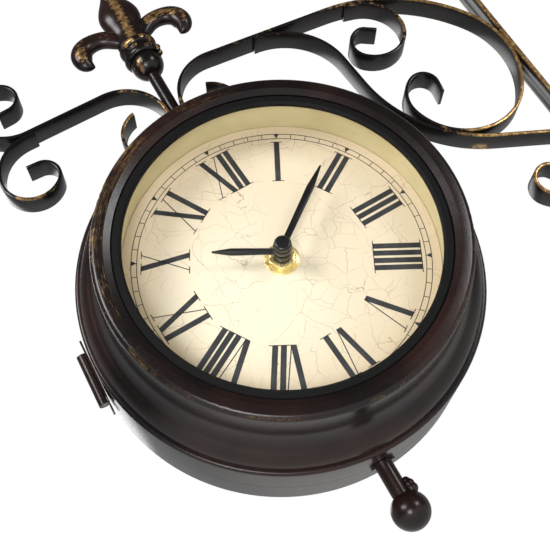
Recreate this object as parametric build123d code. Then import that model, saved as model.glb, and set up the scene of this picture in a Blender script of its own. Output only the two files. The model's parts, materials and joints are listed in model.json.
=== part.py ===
from build123d import *
import os
from math import cos, radians, sin, sqrt

# A two-faced station clock on a scrolled wall bracket, in millimetres.
# The model is drawn about the middle of the case: X to the wall, Y to the rear dial, Z up.
# Each finished piece is then moved, so that the origin is the middle of the bar on the wall.

# Shared sizes
overrun = 5.0
seat_gap = 0.1
loose_gap = 0.3
running_gap = 0.05

# Case
drum_radius = 99.4
drum_half_depth = 21.9
drum_corner_radius = 1.6
sheet = 1.2
seam_gap = 0.3
ovolo_roundness_share = 0.98
ovolo_drop = 0.8
cove_foot_radius = 90.0
cove_foot_depth = 30.5
cove_step = 0.6
neck_radius = 86.3
cove_top_depth = 43.0
face_depth = 60.6
face_edge_radius = 2.8
bevel_radius = 80.0
lip_radius = 77.0
bevel_drop = 1.4

# Glass, gasket and dial pan
glass_thickness = 2.0
glass_margin = 3.0
gasket_bore_radius = 72.3
gasket_thickness = 1.8
gasket_bead = 1.0
pan_sheet = 0.8
dial_radius = 75.5
dial_thickness = 1.0
dial_sink = 25.95
clip_sheet = 1.0
clip_length = 7.0
clip_reach = 6.0
clip_angle = 12
clip_count = 4

# Movement
movement_side = 56.0
movement_thickness = 16.5
movement_corner = 4.0
bushing_radius = 4.0
bushing_rise = 4.5
bushing_sink = 2.6
pipe_radius = 2.6
pipe_wall = 0.8
washer_radius = 8.35
washer_thickness = 0.8
nut_across_flats = 12.0
nut_thickness = 2.6
battery_radius = 7.25
battery_length = 49.2
battery_nub_radius = 2.75
battery_nub = 1.3
battery_wall = 1.1
battery_rise = -17.0
set_wheel_radius = 6.0
set_wheel_thickness = 3.0
set_stem_radius = 1.5
set_stem_length = 4.0
set_wheel_rise = 11.0
set_wheel_ribs = 18
set_rib_radius = 0.45

# Hands
hand_sheet = 0.6
hand_root_width = 3.0
hand_shoulder_width = 3.7
hand_tip_width = 0.8
hour_height = 8.0
hour_length = 32.7
hour_shoulder = 23.8
hour_angle = 63.2
minute_height = 12.4
minute_length = 47.9
minute_shoulder = 34.7
minute_angle = 50.7
hub_radius = 4.4
hub_thickness = 3.0
cap_radius = 4.1
cap_height = 3.4
cap_edge = 1.4

# Bracket straps
strap_width = 13.0
strap_thickness = 2.0
wall_reach = 192.5
pattern_reach = 192.5
wall_rise = 63.0
wall_bar_length = 230.0
wall_bar_thickness = 2.5
screw_spacing = 200.0
screw_hole_radius = 2.5

# Each scroll is a chain of legs: a radius with its angle, or a length with no angle.
# The right-hand scrolls are given as they are at the pattern reach.
curl_heading = -17
curl_tip_radius = 17.5
curl_tip_angle = -62
curl_radius = 14.3
curl_angle = -185
curl_neck = 7.7
bend_radius = 26.0
right_droop_angle = 2.3
left_droop_angle = 4.2
big_radius = 92.0
big_angle = -54.4
big_side_radius = 50.2
big_side_angle = -73.7
big_foot_radius = 34.8
big_foot_angle = -127
big_rise_radius = 18.6
big_rise_angle = -76
big_eye_radius = 8.3
big_eye_angle = -125
big_tip = 7.4
left_run = 46.0
left_scroll_start = 42.0
left_lap = 5.4
end_radius = 23.8
end_angle = 81
end_foot_radius = 16.0
end_foot_angle = 142
end_rise_radius = 9.4
end_rise_angle = 52
end_eye_radius = 8.5
end_eye_angle = 82
end_tip = 6.4
right_scroll_start_angle = -7.3
right_lap_angle = -4.8
right_scroll_radius = 22.3
right_scroll_angle = -78
right_foot_radius = 18.5
right_foot_angle = -131
right_rise_radius = 10.5
right_rise_angle = -126
right_eye_radius = 5.5
right_eye_angle = -43
right_tip = 7.2
brace_start = 28.8
brace_lap = 2.0
brace_bend_radius = 38.6
brace_bend_angle = -82.7
brace_drop = 21.8
brace_sway_angle = 62.4
brace_end_radius = 19.8
brace_end_angle = -99
brace_foot_radius = 21.2
brace_foot_angle = -113
brace_rise_radius = 9.2
brace_rise_angle = -128
brace_eye_radius = 6.5
brace_eye_angle = -50
brace_tip = 7.0

# Stem, finial and hanger
stem_radius = 3.7
stem_screw_radius = 2.5
stem_screw_length = 9.0
hanger_length = 30.0
hanger_width = 18.0
hanger_front = 4.5
hanger_sheet = 1.6
stem_nut_across_flats = 8.0
stem_nut_thickness = 3.0
ball_centre = 160.8
ball_radius = 9.4
ball_socket = 7.0
collar_radius = 11.2
collar_waist_radius = 9.6
collar_rise = 3.0
collar_bead_height = 5.0
collar_gap = 2.4
fleur_height = 50.0
fleur_waist = 9.6
fleur_tip_radius = 0.9
fleur_depth_share = 0.6
petal_arc_radius = 15.0
petal_arc_reach = 20.2
petal_arc_rise = -1.5
petal_full_radius = 6.1
petal_angles = (158, 133, 104, 75, 51, 29, 9, -7, -13)
petal_arc_shares = (1.0, 1.0, 1.0, 1.0, 0.98, 0.86, 0.69, 0.52, 0.46)
petal_radius_shares = (0.54, 0.84, 0.87, 0.91, 1.0, 0.97, 0.72, 0.31, 0.08)
petal_depth_share = 0.85
fleur_outline_shares = (
    (0.0, 1.0),
    (0.16, 0.97),
    (0.29, 1.06),
    (0.44, 1.27),
    (0.54, 1.23),
    (0.68, 0.92),
    (0.83, 0.48),
)

# Knob that holds the case shut
knob_collar_radius = 6.3
knob_collar = 1.3
knob_rod_radius = 4.4
knob_ball_radius = 9.3
knob_ball_drop = 24.8
knob_socket = 5.0
knob_screw_radius = 2.0
knob_screw_length = 10.0
catch_length = 22.0
catch_width = 20.0
catch_sheet = 2.4

# Case hinge
hinge_length = 28.0
hinge_barrel_radius = 2.8
hinge_pin_radius = 1.25
hinge_leaf = 1.0
hinge_leaf_length = 31.0
hinge_leaf_width = 14.0
hinge_chamfer = 4.5
hinge_seam_rise = 1.6

# Places that follow from the sizes above
dial_depth = face_depth - dial_sink
ovolo_chord = sqrt(
    (drum_radius - drum_corner_radius - ovolo_drop - cove_foot_radius - cove_step) ** 2
    + (cove_foot_depth - drum_half_depth) ** 2)
ovolo_radius = ovolo_chord * ovolo_roundness_share
scroll_share = wall_reach / pattern_reach
wall_bar_face = wall_reach - wall_bar_thickness
drum_seat = drum_radius + loose_gap
neck_bore_radius = neck_radius - sheet
gasket_seat_depth = face_depth - bevel_drop - sheet - seat_gap
glass_front_depth = gasket_seat_depth - gasket_thickness
glass_back_depth = glass_front_depth - glass_thickness
glass_radius = neck_bore_radius - glass_margin
pan_radius = dial_radius + loose_gap
dial_back_depth = dial_depth - dial_thickness
pan_back_depth = dial_back_depth - pan_sheet
movement_back_depth = pan_back_depth - movement_thickness
hinge_axis_x = -(drum_radius + seat_gap + hinge_barrel_radius)
collar_bottom = ball_centre + collar_rise
fleur_bottom = collar_bottom + 2 * collar_bead_height + collar_gap
knob_ball_centre = drum_seat + knob_ball_drop


def heading_vector(heading):
    return Vector(cos(radians(heading)), 0, sin(radians(heading)))


def left_vector(heading):
    return Vector(-sin(radians(heading)), 0, cos(radians(heading)))


def stations(start, heading, steps):
    """The start, middle and end of each leg of a chain, each as a point and a heading."""
    legs = []
    for size, turn in steps:
        halfway = heading + turn / 2
        after = heading + turn
        if turn == 0:
            middle = start + heading_vector(heading) * (size / 2)
            end = start + heading_vector(heading) * size
        else:
            arm = size if turn > 0 else -size
            centre = start + left_vector(heading) * arm
            middle = centre - left_vector(halfway) * arm
            end = centre - left_vector(after) * arm
        legs.append(((start, heading), (middle, halfway), (end, after), turn))
        start, heading = end, after
    return legs


def rail(legs, side):
    """One edge line of a strap, set off from the chain by side."""
    edges = []
    for first, middle, last, turn in legs:
        points = [place + left_vector(heading) * side for place, heading in (first, middle, last)]
        edges.append(Line(points[0], points[2]) if turn == 0 else ThreePointArc(*points))
    return edges


def strap(legs):
    """A flat strap bent on edge along a chain of legs."""
    outer = rail(legs, strap_thickness / 2)
    inner = rail(legs, -strap_thickness / 2)
    caps = [Line(outer[0] @ 0, inner[0] @ 0), Line(outer[-1] @ 1, inner[-1] @ 1)]
    outline = make_face(outer + inner + caps)
    return extrude(outline, amount=strap_width / 2, both=True)


def arc_extreme(legs, heading):
    """The furthest point of the strap's left face, where the chain first has this heading."""
    for first, middle, last, turn in legs:
        if turn and min(first[1], last[1]) <= heading <= max(first[1], last[1]):
            leg = (first, middle, last, turn)
            arm = chain_radius(*leg) if turn > 0 else -chain_radius(*leg)
            return arc_centre(leg) - left_vector(heading) * (arm - strap_thickness / 2)
    raise ValueError("the chain never has this heading")


def chain_radius(first, middle, last, turn):
    chord = (last[0] - first[0]).length
    return chord / (2 * sin(radians(abs(turn)) / 2))


def arc_centre(leg):
    first, turn = leg[0], leg[3]
    arm = chain_radius(*leg) if turn > 0 else -chain_radius(*leg)
    return first[0] + left_vector(first[1]) * arm


def save(name, shape):
    placed = Pos(-wall_reach, 0, -wall_rise) * shape
    export_step(placed, f"parts/{name}.step")


def rear(shape):
    """The same piece for the rear dial, half a turn about the case's upright axis."""
    return Rot(0, 0, 180) * shape


def turned(points):
    """A ring turned about the Y axis, from points of radius and depth in front of the seam."""
    outline = Polyline(*[(radius, -depth) for radius, depth in points], close=True)
    return revolve(make_face(outline), axis=Axis.Y)


def disc(radius, depth_low, depth_high):
    """A flat disc between two depths in front of the seam."""
    centre = (depth_low + depth_high) / 2
    return Pos(0, -centre, 0) * Rot(90, 0, 0) * Cylinder(radius, depth_high - depth_low)


# Case shells

def shell_line(inset):
    """The pressed shell's line from the seam to the lip, moved inwards by inset."""
    drum = drum_radius - inset
    front = drum_half_depth - inset
    corner = drum_corner_radius - inset if inset < drum_corner_radius else 0
    foot = cove_foot_radius + cove_step - inset
    neck = neck_radius - inset
    face = face_depth - inset
    edge = face_edge_radius - inset
    seam = seam_gap / 2
    shoulder = (drum - corner - ovolo_drop, front)
    step_top = (foot - cove_step, cove_foot_depth - inset + cove_step)
    return [
        Line((drum, seam), (drum, front - corner)),
        RadiusArc((drum, front - corner), (drum - corner, front), -corner),
        Line((drum - corner, front), shoulder),
        RadiusArc(shoulder, (foot, cove_foot_depth - inset), -ovolo_radius + inset),
        Line((foot, cove_foot_depth - inset), step_top),
        TangentArc((neck, cove_top_depth), step_top, tangent=(0, -1)),
        Line((neck, cove_top_depth), (neck, face - edge)),
        RadiusArc((neck, face - edge), (neck - edge, face), -edge),
        Line((neck - edge, face), (bevel_radius, face)),
        Line((bevel_radius, face), (lip_radius, face - bevel_drop)),
    ]


def case_shell():
    outer = shell_line(0)
    inner = shell_line(sheet)
    ends = [
        Line(outer[0] @ 0, inner[0] @ 0),
        Line(outer[-1] @ 1, inner[-1] @ 1),
    ]
    outline = make_face(outer + inner + ends)
    shell = revolve(mirror(outline, about=Plane.XZ), axis=Axis.Y)
    stem_notch = Pos(0, 0, drum_radius) * Cylinder(stem_screw_radius + loose_gap, 2 * overrun)
    screw_notch = Pos(0, 0, -drum_radius) * Cylinder(knob_screw_radius + loose_gap, 2 * overrun)
    return shell - stem_notch - screw_notch


def glass():
    return disc(glass_radius, glass_back_depth, glass_front_depth)


def gasket():
    """A black ring, its bead showing inside the lip and its flange pressed on the glass."""
    bead_radius = lip_radius - loose_gap
    top = gasket_seat_depth + gasket_bead
    round_off = gasket_bead
    return turned([
        (gasket_bore_radius, glass_front_depth),
        (gasket_bore_radius, top - round_off),
        (gasket_bore_radius + round_off, top),
        (bead_radius - round_off / 2, top),
        (bead_radius, top - round_off / 2),
        (bead_radius, gasket_seat_depth),
        (glass_radius, gasket_seat_depth),
        (glass_radius, glass_front_depth),
    ])


def dial_pan():
    """The pale inner wall, with a floor for the dial and a flange behind the glass."""
    outer = pan_radius + pan_sheet
    flange = neck_bore_radius - loose_gap
    pan = turned([
        (bushing_radius + running_gap, pan_back_depth),
        (bushing_radius + running_gap, dial_back_depth),
        (pan_radius, dial_back_depth),
        (pan_radius, glass_back_depth),
        (flange, glass_back_depth),
        (flange, glass_back_depth - pan_sheet),
        (outer, glass_back_depth - pan_sheet),
        (outer, pan_back_depth),
    ])
    return pan


def pan_clips():
    """Bent tabs spot-welded inside the neck, which hold the flange, glass and gasket."""
    top = glass_back_depth - pan_sheet
    outline = Polyline(
        (neck_bore_radius, -top),
        (neck_bore_radius - clip_reach, -top),
        (neck_bore_radius - clip_reach, -(top - clip_sheet)),
        (neck_bore_radius - clip_sheet, -(top - clip_sheet)),
        (neck_bore_radius - clip_sheet, -(top - clip_length)),
        (neck_bore_radius, -(top - clip_length)),
        close=True,
    )
    tab = revolve(make_face(outline), axis=Axis.Y, revolution_arc=clip_angle)
    step = 360 / clip_count
    return Compound([Rot(0, step / 2 + step * k, 0) * tab for k in range(clip_count)])


def dial():
    return disc(dial_radius, dial_back_depth, dial_depth) - disc(
        bushing_radius + running_gap, dial_back_depth - overrun, dial_depth + overrun)


# Movement

def movement():
    """A plastic housing with its threaded bushing, battery bay and setting-wheel hole."""
    middle = (pan_back_depth + movement_back_depth) / 2
    box = Pos(0, -middle, 0) * Box(movement_side, movement_thickness, movement_side)
    box = fillet(box.edges().filter_by(Axis.Y), movement_corner)
    top = dial_depth + bushing_rise
    body = box + disc(bushing_radius, pan_back_depth, top)
    floor = pan_back_depth - bushing_sink
    body -= disc(pipe_radius + running_gap, floor, top + overrun)
    bay_depth = movement_thickness - battery_wall
    bay_length = battery_length + battery_nub + 2 * loose_gap
    bay_height = 2 * (battery_radius + loose_gap)
    bay_centre = movement_back_depth + bay_depth / 2
    bay = Pos(0, -bay_centre + overrun / 2, battery_rise) * Box(
        bay_length, bay_depth + overrun, bay_height)
    hole = Pos(0, 0, set_wheel_rise) * disc(
        set_stem_radius + running_gap,
        movement_back_depth - overrun,
        movement_back_depth + set_stem_length + loose_gap)
    return body - bay - hole


def battery():
    depth = movement_back_depth + movement_thickness - battery_wall - loose_gap - battery_radius
    can = Rot(0, 90, 0) * Cylinder(battery_radius, battery_length)
    nub = Pos((battery_length + battery_nub) / 2, 0, 0) * Rot(0, 90, 0) * Cylinder(
        battery_nub_radius, battery_nub)
    return Pos(-battery_nub / 2, -depth, battery_rise) * (can + nub)


def set_wheel():
    """The ribbed wheel on the movement's back that sets the hands."""
    low = movement_back_depth - loose_gap - set_wheel_thickness
    high = movement_back_depth - loose_gap
    wheel = disc(set_wheel_radius, low, high)
    for k in range(set_wheel_ribs):
        rib = Pos(set_wheel_radius, 0, 0) * disc(set_rib_radius, low - overrun, high + overrun)
        wheel -= Rot(0, 360 / set_wheel_ribs * k, 0) * rib
    wheel += disc(set_stem_radius, high, movement_back_depth + set_stem_length)
    return Pos(0, 0, set_wheel_rise) * wheel


def washer():
    ring = disc(washer_radius, dial_depth, dial_depth + washer_thickness)
    return ring - disc(bushing_radius + running_gap, 0, dial_depth + overrun)


def hex_prism(across_flats, thickness):
    return extrude(RegularPolygon(across_flats / 2, 6, major_radius=False), amount=thickness)


def nut():
    base = dial_depth + washer_thickness
    body = Pos(0, -base, 0) * Rot(90, 0, 0) * hex_prism(nut_across_flats, nut_thickness)
    return body - disc(bushing_radius + running_gap, 0, base + nut_thickness + overrun)


# Hands

def blade(length, shoulder, height):
    """A hand that widens a little to its shoulder and then comes to a point, set upright."""
    outline = Polyline(
        (-hand_root_width / 2, 0),
        (-hand_shoulder_width / 2, shoulder),
        (-hand_tip_width / 2, length),
        (hand_tip_width / 2, length),
        (hand_shoulder_width / 2, shoulder),
        (hand_root_width / 2, 0),
        close=True,
    )
    flat = extrude(make_face(outline), amount=hand_sheet)
    return Pos(0, -(dial_depth + height), 0) * Rot(90, 0, 0) * flat


def hand(length, shoulder, height, bore):
    base = dial_depth + height - hub_thickness / 2
    hub = disc(hub_radius, base, base + hub_thickness)
    return hub + blade(length, shoulder, height) - disc(bore, 0, base + overrun)


def hour_hand():
    flat = hand(hour_length, hour_shoulder, hour_height, pipe_radius + running_gap)
    return Rot(0, -hour_angle, 0) * flat


def minute_hand():
    flat = hand(minute_length, minute_shoulder, minute_height, arbor_radius() + running_gap)
    return Rot(0, minute_angle, 0) * flat


def arbor_radius():
    return pipe_radius - pipe_wall - running_gap


def hour_pipe():
    low = pan_back_depth - bushing_sink + loose_gap
    high = dial_depth + hour_height + hub_thickness / 2 + loose_gap
    return disc(pipe_radius, low, high) - disc(pipe_radius - pipe_wall, 0, high + overrun)


def minute_arbor():
    low = pan_back_depth - bushing_sink + loose_gap
    high = dial_depth + minute_height + hub_thickness / 2 + cap_height / 2
    return disc(arbor_radius(), low, high)


def hand_cap():
    low = dial_depth + minute_height + hub_thickness / 2
    dome = disc(cap_radius, low, low + cap_height)
    dome = fillet(dome.edges().sort_by(Axis.Y)[0], cap_edge)
    return dome - disc(arbor_radius() + running_gap, low - overrun, low + cap_height / 2)


# Bracket

def drum_curl(droop):
    """The curl that sits on the drum beside the stem, and the bend up into an arm."""
    after_curl = curl_heading + curl_tip_angle + curl_angle
    return [
        (curl_tip_radius, curl_tip_angle),
        (curl_radius, curl_angle),
        (curl_neck, 0),
        (bend_radius, -(after_curl + 360 + droop)),
    ]


def curl_start(droop):
    """The tip's place that lets the curl touch the stem and rest on the drum."""
    legs = stations(Vector(0, 0, 0), curl_heading, drum_curl(droop))
    first = legs[1][0]
    centre = first[0] - left_vector(first[1]) * curl_radius
    stem_side = arc_extreme(legs[3:], -270)
    shift_x = stem_radius + seat_gap - stem_side.X
    outer_radius = curl_radius + strap_thickness / 2
    height = sqrt((drum_seat + outer_radius) ** 2 - (centre.X + shift_x) ** 2)
    return Vector(shift_x, 0, height - centre.Z)


def to_reach(steps):
    """The right-hand scrolls grow and shrink with the reach to the wall."""
    return [(size * scroll_share, turn) for size, turn in steps]


def arm_right_legs():
    """The long strap: drum curl, top run, big arc to the wall bar and its inner curl."""
    head = drum_curl(right_droop_angle)
    tail = to_reach([
        (big_radius, big_angle),
        (big_side_radius, big_side_angle),
        (big_foot_radius, big_foot_angle),
        (big_rise_radius, big_rise_angle),
        (big_eye_radius, big_eye_angle),
        (big_tip, 0),
    ])
    start = curl_start(right_droop_angle)
    short = stations(start, curl_heading, head + tail)
    edge = arc_extreme(short[4:6], -360 - 90)
    run = (wall_bar_face - seat_gap - edge.X) / cos(radians(right_droop_angle))
    return stations(start, curl_heading, head + [(run, 0)] + tail)


def end_scroll(sign):
    return [
        (end_radius, sign * end_angle),
        (end_foot_radius, sign * end_foot_angle),
        (end_rise_radius, sign * end_rise_angle),
        (end_eye_radius, sign * end_eye_angle),
        (end_tip, 0),
    ]


def arm_left_legs():
    """The left arm drawn on the right-hand side, to be mirrored: its end curls upwards."""
    steps = drum_curl(left_droop_angle) + [(left_run, 0)] + end_scroll(1)
    return stations(curl_start(left_droop_angle), curl_heading, steps)


def under_arm(legs, distance, droop):
    """A place below an arm's straight run, for a strap welded under it."""
    start = legs[4][0][0]
    return start + heading_vector(-droop) * distance - left_vector(-droop) * strap_thickness


def scroll_left_legs(arm):
    start = under_arm(arm, left_scroll_start, left_droop_angle)
    return stations(start, -left_droop_angle, [(left_lap, 0)] + end_scroll(-1))


def scroll_right_legs(arm):
    """The scroll lapped under the start of the big arc, which it leaves by a tighter turn."""
    lap_radius = big_radius * scroll_share - strap_thickness
    centre = arc_centre(arm[5])
    heading = arm[5][0][1] + right_scroll_start_angle
    steps = to_reach([
        (right_scroll_radius, right_scroll_angle),
        (right_foot_radius, right_foot_angle),
        (right_rise_radius, right_rise_angle),
        (right_eye_radius, right_eye_angle),
        (right_tip, 0),
    ])
    start = centre + left_vector(heading) * lap_radius
    return stations(start, heading, [(lap_radius, right_lap_angle)] + steps)


def sway_radius(start, heading, arc):
    """The radius at which a left-hand bend from start lies against the outside of an arc."""
    reach = chain_radius(*arc) + strap_thickness + seat_gap
    offset = start - arc_centre(arc)
    along = offset.dot(left_vector(heading))
    return (reach ** 2 - offset.dot(offset)) / (2 * (along + reach))


def brace_legs(arm):
    """The brace under the right arm, which rests on the big arc and runs to the wall bar."""
    head = to_reach([
        (brace_lap, 0),
        (brace_bend_radius, brace_bend_angle),
        (brace_drop, 0),
    ])
    tail = to_reach([
        (brace_end_radius, brace_end_angle),
        (brace_foot_radius, brace_foot_angle),
        (brace_rise_radius, brace_rise_angle),
        (brace_eye_radius, brace_eye_angle),
        (brace_tip, 0),
    ])
    start = under_arm(arm, brace_start * scroll_share, right_droop_angle)
    place, heading = stations(start, -right_droop_angle, head)[-1][2]
    head.append((sway_radius(place, heading, arm[7]), brace_sway_angle))
    short = stations(start, -right_droop_angle, head + tail)
    slope = short[4][0][1]
    edge = arc_extreme(short[4:], -90)
    run = (wall_bar_face - seat_gap - edge.X) / cos(radians(slope))
    return stations(start, -right_droop_angle, head + [(run, 0)] + tail)


def wall_bar():
    """The upright bar against the wall, with round ends and a screw hole near each."""
    slot = SlotOverall(wall_bar_length, strap_width, rotation=90)
    holes = Locations((0, screw_spacing / 2), (0, -screw_spacing / 2))
    drill = Sketch() + [place * Circle(screw_hole_radius) for place in holes.locations]
    plate = extrude(slot - drill, amount=wall_bar_thickness)
    return Pos(wall_bar_face, 0, wall_rise) * (Rot(0, 0, 90) * (Rot(90, 0, 0) * plate))


# Stem and finial

def stem():
    """The rod from the hanger plate inside the case up into the finial's ball."""
    top = ball_centre - ball_radius + ball_socket
    rod = Pos(0, 0, (drum_seat + top) / 2) * Cylinder(stem_radius, top - drum_seat)
    screw_bottom = drum_seat - stem_screw_length
    screw = Pos(0, 0, (drum_seat + screw_bottom) / 2) * Cylinder(
        stem_screw_radius, stem_screw_length)
    return rod + screw


def hanger_top():
    """Height of the flat hanger plate whose corners just clear the drum's inside."""
    bore = drum_radius - sheet - seat_gap
    return sqrt(bore ** 2 - (hanger_length / 2) ** 2)


def hanger_plate():
    middle = hanger_top() - hanger_sheet / 2
    plate = Pos(0, hanger_width / 2 - hanger_front, middle) * Box(
        hanger_length, hanger_width, hanger_sheet)
    return plate - Pos(0, 0, middle) * Cylinder(stem_screw_radius + running_gap, 2 * overrun)


def stem_nut():
    top = hanger_top() - hanger_sheet
    body = Pos(0, 0, top - stem_nut_thickness) * hex_prism(
        stem_nut_across_flats, stem_nut_thickness)
    return body - Pos(0, 0, top) * Cylinder(stem_screw_radius + running_gap, 4 * overrun)


def finial_ball():
    ball = Pos(0, 0, ball_centre) * Sphere(ball_radius)
    bottom = ball_centre - ball_radius
    socket_top = bottom + ball_socket
    socket = Pos(0, 0, (bottom - overrun + socket_top) / 2) * Cylinder(
        stem_radius + running_gap, ball_socket + overrun)
    lid = Pos(0, 0, collar_bottom + ball_radius) * Box(
        4 * ball_radius, 4 * ball_radius, 2 * ball_radius)
    return ball - socket - lid


def finial_collar():
    """Two round beads between the ball and the fleur."""
    bead = collar_bead_height
    half = bead / 2
    top = 2 * bead + collar_gap
    line = [
        Line((0, 0), (collar_waist_radius, 0)),
        ThreePointArc((collar_waist_radius, 0), (collar_radius, half), (collar_waist_radius, bead)),
        Line((collar_waist_radius, bead), (collar_waist_radius, bead + collar_gap)),
        ThreePointArc(
            (collar_waist_radius, bead + collar_gap),
            (collar_radius, top - half),
            (collar_waist_radius, top)),
        Line((collar_waist_radius, top), (0, top)),
        Line((0, top), (0, 0)),
    ]
    ring = revolve(Rot(90, 0, 0) * make_face(line), axis=Axis.Z)
    return Pos(0, 0, collar_bottom) * ring


def fleur_core():
    """The pointed middle petal, lofted through flattened rounds."""
    rounds = []
    for rise, width in fleur_outline_shares + ((1.0, fleur_tip_radius / fleur_waist),):
        half = fleur_waist * width
        plane = Plane.XY.offset(fleur_height * rise)
        rounds.append(plane * Ellipse(half, half * fleur_depth_share))
    return loft(rounds)


def fleur_petal():
    """One side petal: rounds of changing size lofted along an arc that curls down."""
    centre = Vector(petal_arc_reach, 0, petal_arc_rise)
    places = [
        centre + heading_vector(angle) * (petal_arc_radius * share)
        for angle, share in zip(petal_angles, petal_arc_shares)
    ]
    rounds = []
    for i, share in enumerate(petal_radius_shares):
        before = places[max(i - 1, 0)]
        after = places[min(i + 1, len(places) - 1)]
        along = after - before
        across = Vector(-along.Z, 0, along.X)
        plane = Plane(origin=places[i], x_dir=across, z_dir=along)
        width = petal_full_radius * share
        rounds.append(plane * Ellipse(width, width * petal_depth_share))
    return loft(rounds)


def fleur_finial():
    petal = fleur_petal()
    fleur = fleur_core() + petal + mirror(petal, about=Plane.YZ)
    return Pos(0, 0, fleur_bottom) * fleur


# Knob and catch

def knob_rod():
    """A collar that pinches both rims, the rod below it and the screw above it."""
    bottom = knob_ball_centre - knob_ball_radius + knob_socket
    collar = Pos(0, 0, -(drum_seat + knob_collar / 2)) * Cylinder(knob_collar_radius, knob_collar)
    rod = Pos(0, 0, -(drum_seat + bottom) / 2) * Cylinder(knob_rod_radius, bottom - drum_seat)
    screw = Pos(0, 0, -drum_seat + knob_screw_length / 2) * Cylinder(
        knob_screw_radius, knob_screw_length)
    return collar + rod + screw


def knob_ball():
    ball = Pos(0, 0, -knob_ball_centre) * Sphere(knob_ball_radius)
    top = knob_ball_centre - knob_ball_radius
    socket = Pos(0, 0, -(top + (knob_socket - overrun) / 2)) * Cylinder(
        knob_rod_radius + running_gap, knob_socket + overrun)
    return ball - socket


def catch_plate():
    """A thick strip fixed in the rear shell, tapped for the knob's screw."""
    bore = drum_radius - sheet - seat_gap
    low = sqrt(bore ** 2 - (catch_length / 2) ** 2)
    plate = Pos(0, catch_width / 2 - hanger_front, -low + catch_sheet / 2) * Box(
        catch_length, catch_width, catch_sheet)
    return plate - Pos(0, 0, -low) * Cylinder(knob_screw_radius + running_gap, 4 * overrun)


# Hinge

def hinge_leaf_piece(low, high):
    """One leaf: a plate on the drum's side and the knuckle between two heights."""
    inner = drum_radius + seat_gap
    half = hinge_leaf_length / 2
    notch = hinge_barrel_radius + loose_gap
    outline = Polyline(
        (-notch, -hinge_length / 2),
        (-notch - hinge_chamfer, -half),
        (-hinge_leaf_width, -half),
        (-hinge_leaf_width, half),
        (-notch - hinge_chamfer, half),
        (-notch, hinge_length / 2),
        close=True,
    )
    plate = extrude(Plane.YZ * make_face(outline), amount=hinge_leaf)
    plate = Pos(-(inner + hinge_leaf), 0, 0) * plate
    height = high - low
    knuckle = Pos(hinge_axis_x, 0, (low + high) / 2) * Cylinder(hinge_barrel_radius, height)
    web = Pos(-(inner + hinge_leaf / 2), -notch / 2, (low + high) / 2) * Box(
        hinge_leaf, notch, height)
    hole = Pos(hinge_axis_x, 0, 0) * Cylinder(
        hinge_pin_radius + running_gap, hinge_length + overrun)
    return plate + web + knuckle - hole


def hinge_leaf_front():
    return hinge_leaf_piece(hinge_seam_rise + running_gap, hinge_length / 2)


def hinge_leaf_rear():
    leaf = hinge_leaf_piece(-hinge_length / 2, hinge_seam_rise - running_gap)
    return mirror(leaf, about=Plane.XZ)


def hinge_pin():
    return Pos(hinge_axis_x, 0, 0) * Cylinder(hinge_pin_radius, hinge_length)


def build_bracket():
    right = arm_right_legs()
    left = arm_left_legs()
    save("wall_bar", wall_bar())
    save("arm_right", strap(right))
    save("arm_left", mirror(strap(left), about=Plane.YZ))
    save("scroll_right", strap(scroll_right_legs(right)))
    save("scroll_left", mirror(strap(scroll_left_legs(left)), about=Plane.YZ))
    save("brace_scroll", strap(brace_legs(right)))
    save("stem", stem())
    save("hanger_plate", hanger_plate())
    save("stem_nut", stem_nut())
    save("finial_ball", finial_ball())
    save("finial_collar", finial_collar())
    save("fleur_finial", fleur_finial())


def build_case():
    shell = case_shell()
    save("front_case", shell)
    save("rear_case", mirror(shell, about=Plane.XZ))
    save("hinge_leaf_front", hinge_leaf_front())
    save("hinge_leaf_rear", hinge_leaf_rear())
    save("hinge_pin", hinge_pin())
    save("knob_rod", knob_rod())
    save("knob_ball", knob_ball())
    save("catch_plate", catch_plate())


def build_dials():
    """Both faces of the clock hold the same set of pieces."""
    pieces = {
        "gasket": gasket(),
        "glass": glass(),
        "dial_pan": dial_pan(),
        "pan_clips": pan_clips(),
        "dial": dial(),
        "movement": movement(),
        "battery": battery(),
        "set_wheel": set_wheel(),
        "washer": washer(),
        "nut": nut(),
        "hour_pipe": hour_pipe(),
        "hour_hand": hour_hand(),
        "minute_arbor": minute_arbor(),
        "minute_hand": minute_hand(),
        "hand_cap": hand_cap(),
    }
    for name, piece in pieces.items():
        save("front_" + name, piece)
        save("rear_" + name, rear(piece))


os.makedirs("parts", exist_ok=True)
build_bracket()
build_case()
build_dials()
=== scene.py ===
import json
import math

import bmesh
import bpy
import numpy
from mathutils import Matrix, Vector

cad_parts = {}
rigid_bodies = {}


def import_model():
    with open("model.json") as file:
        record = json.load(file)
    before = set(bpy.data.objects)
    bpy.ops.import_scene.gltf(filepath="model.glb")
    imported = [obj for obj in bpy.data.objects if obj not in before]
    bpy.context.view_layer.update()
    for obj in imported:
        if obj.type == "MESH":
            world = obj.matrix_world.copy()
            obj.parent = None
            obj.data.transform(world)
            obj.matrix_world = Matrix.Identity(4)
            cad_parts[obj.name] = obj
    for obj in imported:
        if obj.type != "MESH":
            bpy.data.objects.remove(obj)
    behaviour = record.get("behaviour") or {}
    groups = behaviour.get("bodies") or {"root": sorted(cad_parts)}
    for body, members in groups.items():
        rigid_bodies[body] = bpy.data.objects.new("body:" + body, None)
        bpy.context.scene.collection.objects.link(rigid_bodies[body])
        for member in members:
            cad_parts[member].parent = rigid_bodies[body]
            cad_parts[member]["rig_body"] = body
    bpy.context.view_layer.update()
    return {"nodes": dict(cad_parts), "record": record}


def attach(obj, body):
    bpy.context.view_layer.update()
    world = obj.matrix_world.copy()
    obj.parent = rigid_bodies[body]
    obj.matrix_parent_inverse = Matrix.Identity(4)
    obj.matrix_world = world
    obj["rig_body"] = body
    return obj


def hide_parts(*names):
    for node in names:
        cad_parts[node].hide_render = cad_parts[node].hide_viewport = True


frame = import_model()
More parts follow.
